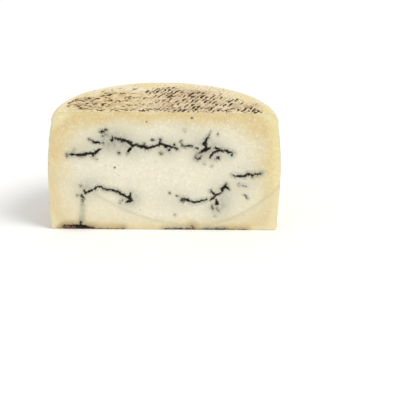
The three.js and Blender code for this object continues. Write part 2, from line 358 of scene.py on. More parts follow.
def profile(w):
    """Radius and height at the share w of the way from the base's edge up the side to the crown."""
    corner = BASE_CORNER_RADIUS * math.pi / 2
    shoulder = SHOULDER_RADIUS * math.pi / 2
    along = w * (corner + SIDE_LENGTH + shoulder)
    a = np.clip(along / corner, 0, 1) * math.pi / 2
    z = BASE_CORNER_RADIUS + np.clip(along - corner, 0, SIDE_LENGTH)
    b = np.clip((along - corner - SIDE_LENGTH) / shoulder, 0, 1) * math.pi / 2
    r = np.where(along < corner, BASE_REACH + BASE_CORNER_RADIUS * np.sin(a),
                 np.where(b > 0, SHOULDER_REACH + SHOULDER_RADIUS * np.cos(b), side_radius(z)))
    z = np.where(along < corner, BASE_CORNER_RADIUS * (1 - np.cos(a)), z + SHOULDER_RADIUS * np.sin(b))
    return r, z


def cut_squares(bm, axis, count):
    """Cuts every edge that runs along the axis into the given count."""
    edges = [e for e in bm.edges if abs(e.verts[0].co[axis] - e.verts[1].co[axis]) > TINY]
    bmesh.ops.subdivide_edges(bm, edges=edges, cuts=count - 1, use_grid_fill=True)


PASTE, CROWN, SIDE = 0, 1, 2


def wheel_block():
    """A block of squares, bent to the half wheel: its front stays flat, the rest wraps the round."""
    bm = bmesh.new()
    bmesh.ops.create_cube(bm, size=1)
    bmesh.ops.scale(bm, vec=(2, 1, 1), verts=bm.verts)
    bmesh.ops.translate(bm, vec=(0, 0.5, 0.5), verts=bm.verts)
    for axis, count in enumerate((SQUARES_ACROSS, SQUARES_DEEP, SQUARES_UP)):
        cut_squares(bm, axis, count)
    for face in bm.faces:
        middle = face.calc_center_median()
        flat = middle.z < TINY or middle.z > 1 - TINY
        face.material_index = PASTE if middle.y < TINY else CROWN if flat else SIDE
    base = [f for f in bm.faces if f.calc_center_median().z < TINY]
    bmesh.ops.dissolve_faces(bm, faces=base)
    places = np.array([v.co for v in bm.verts])
    u, v, w = places.T
    across = u * np.sqrt(1 - v * v / 2)
    deep = v * np.sqrt(1 - u * u / 2)
    r, z = profile(w)
    dome = 1 + CROWN_DOME / HEIGHT * (1 - across ** 2 - deep ** 2)
    for vert, x, y, height in zip(bm.verts, across * r, deep * r, z * dome):
        vert.co = (x, y, height)
    return bm


def soften_cut_edge(bm):
    """Takes the sharpness off the edge that the knife left all round the cut face."""
    rim = [e for e in bm.edges if len({f.material_index == PASTE for f in e.link_faces}) > 1]
    bmesh.ops.bevel(bm, geom=rim, affect="EDGES", offset=CUT_EDGE_BEVEL, segments=2, profile=0.5,
                    material=-1)


def refine_seams(bm):
    """Halves the squares along seams and dots, so that their fine edges and furrows have room."""
    for within in REFINE_WITHIN:
        faces = [f for f in bm.faces if f.material_index == PASTE and len(f.verts) == 4]
        middles = np.array([f.calc_center_median() for f in faces])
        near = stroke_distance(middles[:, 0], middles[:, 2], SEAMS + DOTS) < within
        edges = {e for f, close in zip(faces, near) if close for e in f.edges}
        bmesh.ops.subdivide_edges(bm, edges=list(edges), cuts=1, use_grid_fill=True)


# Prints in the rind

def print_warp(places):
    """How far the print has slid at each point, in bars."""
    return sum(share * lumps(places, size, seed) for seed, (share, size) in enumerate(WARPS, PRINT_SEED))


def mat_coordinates(x, y, warp):
    """Across and along the mat's bars, counted in bars and in rows."""
    across = x * math.cos(BAR_LEAN) - y * math.sin(BAR_LEAN)
    along = x * math.sin(BAR_LEAN) + y * math.cos(BAR_LEAN)
    return across / BAR_PITCH + warp, along / BAR_ROW + warp


def basket_coordinates(x, y, z, warp):
    """Round the side and up it, counted in blocks and in courses."""
    turn = np.arctan2(y, x) / math.pi
    return turn * BLOCKS_ROUND + warp * BASKET_WARP[0], z / HEIGHT * COURSES + warp * BASKET_WARP[1]


def triangle(value):
    """0 at whole numbers, 1 half way between them."""
    return 1 - np.abs(value % 1 - 0.5) * 2


def mat_bars(u, v):
    """1 along the middle of each pressed bar, 0 on the ridges and between the rows."""
    return smooth(*BAR_WALLS, triangle(u)) * smooth(*BAR_ENDS, triangle(v))


def basket_blocks(u, v):
    """1 on the sunk blocks, 0 on the proud ones."""
    sunk = (np.floor(u) + np.floor(v)) % 2
    inner = smooth(0, BLOCK_EDGE, triangle(u)) * smooth(0, BLOCK_EDGE, triangle(v))
    return 0.5 + (sunk - 0.5) * inner


def cut_reach(z):
    """How far the cut reaches to either side at each height, as if its corners were square."""
    return side_radius(np.clip(z, BASE_CORNER_RADIUS, BASE_CORNER_RADIUS + SIDE_LENGTH))


def rim_distance(x, z):
    """How far each point of the cut lies in from the cut's own outline."""
    reach = cut_reach(z) - abs(x)
    over = np.maximum(abs(x) - SHOULDER_REACH, 0)
    above = np.maximum(z - HEIGHT + SHOULDER_RADIUS, 0)
    return np.minimum(np.minimum(reach, HEIGHT - z), SHOULDER_RADIUS - np.hypot(over, above))


def press_rind(verts, x, y, z, cut):
    """Presses the mat and the basket into the rind, and gives it a few soft lumps. The rind sinks
    along its own slope, and takes the rim of the cut with it."""
    places = np.column_stack((x, y, z))
    swell = sum(height * (1 + lumps(places, size, seed)) / 2
                for seed, (height, size) in enumerate(RIND_LUMPS, RIND_SEED))
    warp = print_warp(places)
    r = np.hypot(x, y)
    mat_u, mat_v = mat_coordinates(x, y, warp)
    pressed = mat_bars(mat_u, mat_v) * smooth(MAT_REACH + MAT_FADE, MAT_REACH, r)
    pressed *= WORN_DEPTH + (1 - WORN_DEPTH) * smooth(WORN_LEFT_OF, WORN_LEFT_OF + WORN_WIDTH, x)
    block_u, block_v = basket_coordinates(x, y, z, warp)
    sunk = basket_blocks(block_u, block_v) * BLOCK_DEPTH
    sunk += smooth(*BLOCK_BAR_WALLS, triangle(block_u * BARS_PER_BLOCK)) * BLOCK_BAR_DEPTH
    sunk *= smooth(BASE_CORNER_RADIUS, BASE_CORNER_RADIUS + BASKET_FADE, z)
    sunk *= smooth(HEIGHT - SHOULDER_RADIUS, HEIGHT - SHOULDER_RADIUS - BASKET_FADE, z)
    taken = np.where(cut, smooth(RIM_FOLLOWS, 0, rim_distance(x, z)), 1)
    up = np.clip((z - HEIGHT) / SHOULDER_RADIUS + 1, 0, 1)
    inward = (sunk + swell) * np.sqrt(1 - up * up) * taken / np.maximum(r, NEAR_AXIS)
    down = (pressed * BAR_DEPTH + swell / 2) * up * taken
    for i, vert in enumerate(verts):
        vert.co.x *= 1 - inward[i]
        vert.co.y *= 1 - inward[i]
        vert.co.z -= down[i]


def knife_bow(x, z):
    """Height above the bow that the knife left across the lower part of the cut."""
    rise = np.where(x < BOW_LOW_X, BOW_RISE_LEFT, BOW_RISE_RIGHT)
    return z - BOW_LOW_Z - rise * (x - BOW_LOW_X) ** 2


def carve_cut(verts, x, z, cut):
    """Sinks the truffle seams a little into the cut face and steps it along the knife's bow."""
    seam = smooth(SEAM_EDGE, -SEAM_EDGE / 2, stroke_distance(x, z, SEAMS)) * SEAM_FURROW
    depth, size = CUT_SWAY
    sway = depth * (1 + lumps(np.column_stack((x, z * 0, z)), size, CUT_SEED))
    step = BOW_STEP * smooth(-BOW_STEP_WIDTH / 2, BOW_STEP_WIDTH / 2, knife_bow(x, z))
    inward = np.where(cut, seam + sway + step, 0)
    for i, vert in enumerate(verts):
        vert.co.y += inward[i]


def rind_share(x, z):
    """0 at the rind, 1 where the golden band ends and more beyond it, by the nearest sides of the cut."""
    r = cut_reach(z)
    side = np.where(x < 0, (r + x) / BAND_LEFT, (r - x) / BAND_RIGHT)
    crown = (HEIGHT - z) / (BAND_CROWN + BAND_CROWN_AT_ENDS * (x / RADIUS) ** 2)
    shares = np.clip([side, crown, z / BAND_BASE], 0, LARGEST_SHARE)
    return -np.log(np.exp(-CORNER_SHARPNESS * shares).sum(axis=0)) / CORNER_SHARPNESS


def write_field(mesh, name, values):
    """One number for each vertex, for the shaders to read."""
    field = mesh.attributes.new(name, "FLOAT", "POINT")
    field.data.foreach_set("value", np.asarray(values, dtype=np.float32))


def whole_numbers(items, name):
    """The named whole number of each of the mesh's items."""
    values = np.zeros(len(items), dtype=np.int32)
    items.foreach_get(name, values)
    return values


def write_fields(mesh, places):
    """The fields that the materials read: truffle, stains, bloom, ripeness, the painted light and shade of
    the cut's ends, print and its coordinates.
    """
    x, y, z = places.T
    wander = BAND_WANDER * lumps(places, BAND_WANDER_SIZE, BAND_SEED)
    for name, strokes in (("truffle", SEAMS), ("smudge", SMUDGES), ("dots", DOTS), ("crust", BOTTOM_CRUST)):
        write_field(mesh, name, stroke_distance(x, z, strokes))
    write_field(mesh, "bloom", np.clip(spots(x, z, BLOOMS), 0, 1))
    write_field(mesh, "ripeness", rind_share(x, z) + wander)
    bow = knife_bow(x, z)
    write_field(mesh, "bow", bow)
    write_field(mesh, "bow_line", np.exp(-(bow / BOW_LINE) ** 2) * smooth(*BOW_FADES, x))
    # Painted light on the cut's right end and painted shade on its left end
    reach = cut_reach(z)
    write_field(mesh, "rim_light_and_shade", smooth(*PAINTED_LIGHT_END, reach - x) - smooth(*PAINTED_SHADE_END, reach + x))
    lain = smooth(MAT_REACH + MAT_FADE, MAT_REACH, np.hypot(x, y))
    printed = lain * smooth(*PRINT_STARTS, y)
    stain = (np.clip(spots(x, y, STAINS), 0, 1) + CROWN_STAIN) * lain * smooth(*STAIN_STARTS, y)
    write_field(mesh, "stain", np.where(z < MM, BASE_STAIN, stain))
    strip = np.exp(-((y - STRIP_IN) / STRIP_WIDTH) ** 2)
    for ends in STRIP_ENDS:
        strip *= smooth(*ends, x)
    write_field(mesh, "strip", strip * printed)
    write_field(mesh, "mat_ink", np.clip(spots(x, y, DARK_MARKS), 0, MOST_INK) * printed)
    warp = print_warp(places)
    corner_vert = whole_numbers(mesh.loops, "vertex_index")
    on_side = np.repeat(whole_numbers(mesh.polygons, "material_index"),
                        whole_numbers(mesh.polygons, "loop_total")) == SIDE
    mat = np.column_stack(mat_coordinates(x, y, warp))[corner_vert]
    basket = np.column_stack(basket_coordinates(x, y, z, warp))[corner_vert]
    print_map = mesh.uv_layers.new(name="print")
    print_map.data.foreach_set("uv", np.where(on_side[:, None], basket, mat).astype(np.float32).ravel())


def half_wheel():
    """The whole piece as one closed mesh."""
    bm = wheel_block()
    soften_cut_edge(bm)
    refine_seams(bm)
    verts = list(bm.verts)
    places = np.array([v.co for v in verts])
    x, y, z = places.T
    kinds = [{f.material_index for f in v.link_faces} for v in verts]
    is_cut = np.array([kind == {PASTE} for kind in kinds])
    press_rind(verts, x, y, z, is_cut)
    carve_cut(verts, x, z, is_cut)
    for face in bm.faces:
        face.smooth = True
    mesh = bpy.data.meshes.new("cheese_half")
    bm.to_mesh(mesh)
    bm.free()
    write_fields(mesh, places)
    mesh.transform(Matrix.Translation(CUT_FOOT) @ Matrix.Scale(MM, 4))
    piece = bpy.data.objects.new("cheese_half", mesh)
    bpy.context.collection.objects.link(piece)
    return piece


# Finishes

# Paste, from the rind inwards: (share of the band, colour)
STRAW_PASTE = "#ebdfbd"
PASTE_BAND = [(0.12, "#f1e4b4"), (0.3, "#ebd8a3"), (0.5, "#e8d09a"), (0.9, "#ead7a4"), (1.2, "#ecddb4"),
              (1.7, "#efe6c6"), (2.5, "#f5eed6")]
# Painted light on the cut's right end and painted shade on its left end
PAINTED_LIGHT_RIM = "#f8eab2"
PAINTED_SHADE_RIM = "#dbd4b4"
# Painted highlights: the small whitish glints of the moist curd
PAINTED_CURD_GLINT = "#fffcf0"
KNIFE_SHADE = "#c2b993"

# Truffle, what it stains, and the browned rind below the cut
TRUFFLE_BLACK = "#1a1006"
BLOOM_GREY = "#a4a592"
STAIN_GREY = "#6e6449"
STAIN_DARK = "#35290f"
CRUST_BROWN = "#6c4226"
TOASTED = "#b79c68"

# Rind: cream, yellower in patches, with a tan film and brown to near-black paste in the print
RIND_CREAM = "#f5eac9"
RIND_PRINTED = "#ebd7b3"
RIND_WORN = "#f0dba9"
RIND_YELLOW = "#efdfac"
RIND_SHADE = "#dcc296"
RIND_TAN = "#b79a74"
HAZE_TAN = "#cdb48a"
INK_TONES = [(0, "#94753a"), (0.4, "#6a4c1e"), (1, "#2b1b07")]


def linear(code):
    """An sRGB hex colour as the linear colour that shaders take."""
    parts = [int(code[i:i + 2], 16) / 255 for i in (1, 3, 5)]
    return (*(c / 12.92 if c <= 0.04045 else ((c + 0.055) / 1.055) ** 2.4 for c in parts), 1)


def per_metre(size_mm):
    """The scale of a pattern whose features are the given size, on coordinates in metres."""
    return 1 / (size_mm * MM)


def add(tree, kind, inputs=None, **settings):
    """Adds a node with its settings. Each input gets its value, or the socket that feeds it, or a node
    that feeds it by the first output in use."""
    node = tree.nodes.new(kind)
    for name, value in settings.items():
        setattr(node, name, value)
    for key, value in (inputs or {}).items():
        if isinstance(value, bpy.types.Node):
            value = next(socket for socket in value.outputs if socket.enabled)
        if isinstance(value, bpy.types.NodeSocket):
            tree.links.new(value, node.inputs[key])
        else:
            node.inputs[key].default_value = value
    return node


def new_material(name):
    """An empty material of the given name, and its node tree."""
    material = bpy.data.materials.new(name)
    material.use_nodes = True
    material.node_tree.nodes.clear()
    return material, material.node_tree


# Moist fat and dry rind both shine little, and light goes a short way in, red the farthest
IOR = 1.45
SHEEN = 0.25
LIGHT_REACH = (1, 0.75, 0.45)
LIGHT_REACH_MM = 2
PASTE_ROUGHNESS = 0.75
TRUFFLE_ROUGHNESS = 0.48
PASTE_SUBSURFACE = 0.15
RIND_ROUGHNESS = 0.7
RIND_SUBSURFACE = 0.05

# Depth of the bump in mm
GRAIN_DEPTH = 0.9
MAT_DEPTH = 0.2
BASKET_DEPTH = 0.35

# The curd's painted highlights lean and are longer than they are wide
CURD_LEAN = (math.radians(90), math.radians(20), 0)
CURD_STRETCH = (1, 1.9, 1)

# Sizes, spacings and reaches of the paste's patterns, in mm
RIPENING_SIZE = 9
GRAIN_SIZE = 1.6
# The spacing of the painted highlights on the curd
GLINT_SPACING = 2.4
SWIRL_SIZE = 4.5
CRUMB_SIZE = 1.2
FLAKE_SIZE = 3.4
TRUFFLE_GRAIN_SPACING = 2.1
MOTE_SPACING = 10
HALO_REACH = 6.5
TOASTED_REACH = 9
GRAIN_REACH = 4.5

# The outline of truffle and stains is frayed by crumbs and flakes, in mm, about this offset
CRUMB_FRAY = 3.4
FLAKE_FRAY = 3
FRAY_OFFSET = -3.3

# Sizes and spacings of the rind's patterns, in mm
RIND_PATCH_SIZE = 31
RIND_MOTTLE_SIZE = 3
FILM_SIZE = 7
FLECK_SIZE = 3.2
MAT_SWAY_SIZE = 6
MAT_DOT_SPACING = 5.5
BASKET_SWAY_SIZE = 5
BASKET_BLOTCH_SIZE = 7
BASKET_CRUMB_SIZE = 2.4
BASKET_DOT_SPACING = 4

# Bars of ink in the prints, as shares of a bar's spacing: where they start and where they are full
MAT_INK_SIDES = (0.16, 0.4)
MAT_INK_ENDS = (0.06, 0.22)
BASKET_INK_SIDES = (0.18, 0.36)
BASKET_INK_ENDS = (0.02, 0.12)


def finish_material(tree, colour, height, roughness, depth_mm, subsurface):
    """The surface itself: colour and bump are painted, the rest is the same all over."""
    bump = add(tree, "ShaderNodeBump", {"Distance": depth_mm * MM, "Height": height})
    shader = add(tree, "ShaderNodeBsdfPrincipled", {
        "Base Color": colour, "Roughness": roughness, "IOR": IOR, "Specular IOR Level": SHEEN,
        "Normal": bump, "Subsurface Weight": subsurface, "Subsurface Radius": LIGHT_REACH,
        "Subsurface Scale": LIGHT_REACH_MM * MM})
    add(tree, "ShaderNodeOutputMaterial", {"Surface": shader})


def set_stops(ramp, stops, longest):
    """Sets a colour ramp's stops, given as (place, sRGB hex), on a ramp that runs from 0 to longest."""
    elements = ramp.color_ramp.elements
    while len(elements) > 1:
        elements.remove(elements[-1])
    for i, (place, code) in enumerate(stops):
        element = elements[0] if i == 0 else elements.new(place / longest)
        element.position = place / longest
        element.color = linear(code)


def layer(tree, under, distance, frayed, soft_mm, strength, code):
    """Lays a colour where the distance field, made ragged, falls below 0."""
    edge = add(tree, "ShaderNodeMath", {0: distance, 1: frayed}, operation="ADD")
    cover = add(tree, "ShaderNodeMapRange", {"Value": edge, "From Min": -soft_mm / 2, "From Max": soft_mm,
                                             "To Min": strength, "To Max": 0},
                interpolation_type="SMOOTHSTEP")
    return add(tree, "ShaderNodeMix", {0: cover, 6: under, 7: linear(code)}, data_type="RGBA")


def cut_paste():
    """Pressed, matured sheep's curd, cut with a knife: ivory, close and faintly grainy, golden and
    more see-through towards the rind, with near-black truffle seams and their blue-grey bloom."""
    material, tree = new_material("matured_sheep_curd_cut")
    place = add(tree, "ShaderNodeTexCoord").outputs["Object"]
    names = ("truffle", "smudge", "dots", "crust", "bloom", "ripeness", "bow", "bow_line", "rim_light_and_shade")
    field = {name: add(tree, "ShaderNodeAttribute", attribute_name=name).outputs["Fac"] for name in names}
    broad = add(tree, "ShaderNodeTexNoise",
                {"Vector": place, "Scale": per_metre(RIPENING_SIZE), "Detail": 3})
    grain = add(tree, "ShaderNodeTexNoise", {"Vector": place, "Scale": per_metre(GRAIN_SIZE), "Detail": 4})

    # Ripening from the rind inwards, then painted light on the cut's right end and painted shade on its
    # left end, as the key light falls from the right
    ripe = add(tree, "ShaderNodeMath", {0: broad, 1: 0.25, 2: field["ripeness"]}, operation="MULTIPLY_ADD")
    band = add(tree, "ShaderNodeValToRGB", {0: ripe})
    set_stops(band, PASTE_BAND, PASTE_BAND[-1][0])
    rim_light_share = add(tree, "ShaderNodeMapRange", {"Value": field["rim_light_and_shade"], "To Max": 0.9})
    rim_lit = add(tree, "ShaderNodeMix", {0: rim_light_share, 6: band, 7: linear(PAINTED_LIGHT_RIM)}, data_type="RGBA")
    rim_shade_share = add(tree, "ShaderNodeMapRange", {"Value": field["rim_light_and_shade"], "From Max": -1.0, "To Max": 0.9})
    rim_shaded = add(tree, "ShaderNodeMix", {0: rim_shade_share, 6: rim_lit, 7: linear(PAINTED_SHADE_RIM)}, data_type="RGBA")

    # Curd: painted highlights, whitish glints of uneven size on the moist curd where the grain shows, over
    # greyer and lighter swirls
    drawn = add(tree, "ShaderNodeMapping", {"Vector": place, "Rotation": CURD_LEAN, "Scale": CURD_STRETCH},
                vector_type="TEXTURE")
    glint_cells = add(tree, "ShaderNodeTexVoronoi", {"Vector": drawn, "Scale": per_metre(GLINT_SPACING)},
                 voronoi_dimensions="2D")
    size = add(tree, "ShaderNodeMapRange", {"Value": glint_cells.outputs["Color"], "From Min": 0.45,
                                            "From Max": 0.8, "To Min": 0.02, "To Max": 0.36})
    inside = add(tree, "ShaderNodeMath", {0: size, 1: glint_cells.outputs["Distance"]}, operation="SUBTRACT")
    dot = add(tree, "ShaderNodeMapRange", {"Value": inside, "From Max": 0.22, "To Max": 0.85})
    patchy = add(tree, "ShaderNodeMapRange",
                 {"Value": ripe, "From Min": 0.3, "From Max": 1.2, "To Min": 0.45, "To Max": 1.15})
    glint_amount = add(tree, "ShaderNodeMath", {0: dot, 1: patchy}, operation="MULTIPLY")
    glinted = add(tree, "ShaderNodeMix", {0: glint_amount, 6: rim_shaded, 7: linear(PAINTED_CURD_GLINT)}, data_type="RGBA")
    swirl = add(tree, "ShaderNodeTexNoise",
                {"Vector": place, "Scale": per_metre(SWIRL_SIZE), "Detail": 5, "Distortion": 0.6})
    tone = add(tree, "ShaderNodeMapRange",
               {"Value": swirl, "From Min": 0.3, "From Max": 0.7, "To Min": 0.93, "To Max": 1.04})
    fine = add(tree, "ShaderNodeMapRange",
               {"Value": grain, "From Min": 0.3, "From Max": 0.7, "To Min": 0.965, "To Max": 1.03})
    both = add(tree, "ShaderNodeMath", {0: tone, 1: fine}, operation="MULTIPLY")
    toned = add(tree, "ShaderNodeMix", {0: 1, 6: glinted, 7: both}, data_type="RGBA",
                blend_type="MULTIPLY")

    # Below the knife's bow the paste looks a little yellower, with a faint dark line along it
    below = add(tree, "ShaderNodeMapRange",
                {"Value": field["bow"], "From Min": 0.8, "From Max": -0.8, "To Max": 0.4})
    skimmed = add(tree, "ShaderNodeMix", {0: below, 6: toned, 7: linear(STRAW_PASTE)}, data_type="RGBA")
    line = add(tree, "ShaderNodeMapRange", {"Value": field["bow_line"], "To Max": 0.36})
    lined = add(tree, "ShaderNodeMix", {0: line, 6: skimmed, 7: linear(KNIFE_SHADE)}, data_type="RGBA")

    # Truffle: bloom and stains under the near-black seams, whose outline is crumbly at two sizes
    rim = add(tree, "ShaderNodeMapRange", {"Value": field["truffle"], "From Max": HALO_REACH, "To Min": 0.6,
                                           "To Max": 0}, interpolation_type="SMOOTHSTEP")
    bloomed = add(tree, "ShaderNodeMath", {0: field["bloom"], 1: 0.9}, operation="MULTIPLY")
    cloudy = add(tree, "ShaderNodeMapRange",
                 {"Value": swirl, "From Min": 0.3, "From Max": 0.65, "To Min": 0.6, "To Max": 1.3})
    halo = add(tree, "ShaderNodeMath", {0: bloomed, 1: rim}, operation="MAXIMUM")
    hazy = add(tree, "ShaderNodeMath", {0: halo, 1: cloudy}, operation="MULTIPLY")
    hazed = add(tree, "ShaderNodeMix", {0: hazy, 6: lined, 7: linear(BLOOM_GREY)}, data_type="RGBA")
    crumb = add(tree, "ShaderNodeTexNoise", {"Vector": place, "Scale": per_metre(CRUMB_SIZE), "Detail": 2})
    flake = add(tree, "ShaderNodeTexNoise", {"Vector": place, "Scale": per_metre(FLAKE_SIZE), "Detail": 2})
    crumbly = add(tree, "ShaderNodeMath", {0: crumb, 1: CRUMB_FRAY, 2: FRAY_OFFSET},
                  operation="MULTIPLY_ADD")
    frayed = add(tree, "ShaderNodeMath", {0: flake, 1: FLAKE_FRAY, 2: crumbly}, operation="MULTIPLY_ADD")
    ragged = add(tree, "ShaderNodeMath", {0: frayed, 1: 1.3, 2: 0.45}, operation="MULTIPLY_ADD")
    stained = layer(tree, hazed, field["smudge"], frayed, 3, 0.4, STAIN_GREY)
    cored = layer(tree, stained, field["smudge"], ragged, 0.9, 0.8, STAIN_DARK)
    seeded = layer(tree, cored, field["dots"], 0.0, 0.8, 0.85, STAIN_DARK)
    warm = add(tree, "ShaderNodeMapRange", {"Value": field["crust"], "From Max": TOASTED_REACH,
                                            "To Min": 0.55, "To Max": 0}, interpolation_type="SMOOTHSTEP")
    toasted = add(tree, "ShaderNodeMix", {0: warm, 6: seeded, 7: linear(TOASTED)}, data_type="RGBA")
    crusted = layer(tree, toasted, field["crust"], frayed, 0.9, 0.9, CRUST_BROWN)
    fringed = layer(tree, crusted, field["truffle"], ragged, 2.4, 0.35, STAIN_DARK)
    slim = add(tree, "ShaderNodeMath", {0: frayed, 1: 0.15}, operation="ADD")
    veined = layer(tree, fringed, field["truffle"], slim, 0.9, 1, TRUFFLE_BLACK)

    # Loose grains of truffle, larger and more of them close to a seam
    grains = add(tree, "ShaderNodeTexVoronoi", {"Vector": place, "Scale": per_metre(TRUFFLE_GRAIN_SPACING)})
    reach = add(tree, "ShaderNodeMapRange",
                {"Value": field["truffle"], "From Max": GRAIN_REACH, "To Min": 0.42, "To Max": 0})
    chance = add(tree, "ShaderNodeMapRange",
                 {"Value": grains.outputs["Color"], "From Min": 0.45, "From Max": 0.6})
    grown = add(tree, "ShaderNodeMath", {0: reach, 1: chance}, operation="MULTIPLY")
    within = add(tree, "ShaderNodeMath", {0: grown, 1: grains.outputs["Distance"]}, operation="SUBTRACT")
    loose = add(tree, "ShaderNodeMapRange", {"Value": within, "From Max": 0.12, "To Max": 0.75})
    grainy = add(tree, "ShaderNodeMix", {0: loose, 6: veined, 7: linear(TRUFFLE_BLACK)}, data_type="RGBA")

    # A few fine dark specks all over
    motes = add(tree, "ShaderNodeTexVoronoi", {"Vector": place, "Scale": per_metre(MOTE_SPACING)})
    mote = add(tree, "ShaderNodeMapRange", {"Value": motes.outputs["Distance"], "From Min": 0.03,
                                            "From Max": 0.075, "To Min": 0.5, "To Max": 0})
    flecked = add(tree, "ShaderNodeMix", {0: mote, 6: grainy, 7: linear(STAIN_GREY)}, data_type="RGBA")

    roughness = add(tree, "ShaderNodeMapRange", {"Value": field["truffle"], "From Min": -0.3,
                                                 "From Max": 0.4, "To Min": PASTE_ROUGHNESS,
                                                 "To Max": TRUFFLE_ROUGHNESS})
    finish_material(tree, flecked, both, roughness, GRAIN_DEPTH, PASTE_SUBSURFACE)
    return material


def rind_ground(tree, place):
    """Dry natural rind: cream, yellower in patches, shaded in the hollows between its fine grains."""
    broad = add(tree, "ShaderNodeTexNoise",
                {"Vector": place, "Scale": per_metre(RIND_PATCH_SIZE), "Detail": 4})
    patch = add(tree, "ShaderNodeMapRange", {"Value": broad, "From Min": 0.4, "From Max": 0.62})
    ground = add(tree, "ShaderNodeMix", {0: patch, 6: linear(RIND_CREAM), 7: linear(RIND_YELLOW)},
                 data_type="RGBA")
    mottle = add(tree, "ShaderNodeTexNoise",
                 {"Vector": place, "Scale": per_metre(RIND_MOTTLE_SIZE), "Detail": 5})
    shade = add(tree, "ShaderNodeMapRange",
                {"Value": mottle, "From Min": 0.5, "From Max": 0.72, "To Max": 0.7})
    shaded = add(tree, "ShaderNodeMix", {0: shade, 6: ground, 7: linear(RIND_SHADE)}, data_type="RGBA")
    return shaded, mottle


def bar_pattern(tree, across, along, wide, long, between):
    """1 inside each bar of a print, less outside its sides, and the value between on past its ends."""
    sides = add(tree, "ShaderNodeMath", {0: across, 1: 0.5}, operation="PINGPONG")
    ends = add(tree, "ShaderNodeMath", {0: along, 1: 0.5}, operation="PINGPONG")
    inner = add(tree, "ShaderNodeMapRange", {"Value": sides, "From Min": wide[0], "From Max": wide[1]},
                interpolation_type="SMOOTHSTEP")
    inside = add(tree, "ShaderNodeMapRange", {"Value": ends, "From Min": long[0], "From Max": long[1],
                                              "To Min": between}, interpolation_type="SMOOTHSTEP")
    return add(tree, "ShaderNodeMath", {0: inner, 1: inside}, operation="MULTIPLY")


def ink_rind(tree, ground, mottle, bars, ink, depth_mm):
    """Dark paste left in the print: brown where it is thin, near black where it fills a bar."""
    tones = add(tree, "ShaderNodeValToRGB", {0: ink})
    set_stops(tones, INK_TONES, INK_TONES[-1][0])
    cover = add(tree, "ShaderNodeMapRange", {"Value": ink, "From Min": 0.06, "From Max": 0.5})
    colour = add(tree, "ShaderNodeMix", {0: cover, 6: ground, 7: tones}, data_type="RGBA")
    height = add(tree, "ShaderNodeMath", {0: bars, 1: -1, 2: mottle}, operation="MULTIPLY_ADD")
    finish_material(tree, colour, height, RIND_ROUGHNESS, depth_mm, RIND_SUBSURFACE)


def rind_dots(tree, place, spacing):
    """Small brown dots at about the given spacing, some of them left out."""
    dots = add(tree, "ShaderNodeTexVoronoi", {"Vector": place, "Scale": per_metre(spacing)})
    chance = add(tree, "ShaderNodeMapRange",
                 {"Value": dots.outputs["Color"], "From Min": 0.4, "From Max": 0.7, "To Max": 0.85})
    dot = add(tree, "ShaderNodeMapRange", {"Value": dots.outputs["Distance"], "From Min": 0.07,
                                           "From Max": 0.17, "To Min": 1, "To Max": 0})
    return add(tree, "ShaderNodeMath", {0: dot, 1: chance}, operation="MULTIPLY")


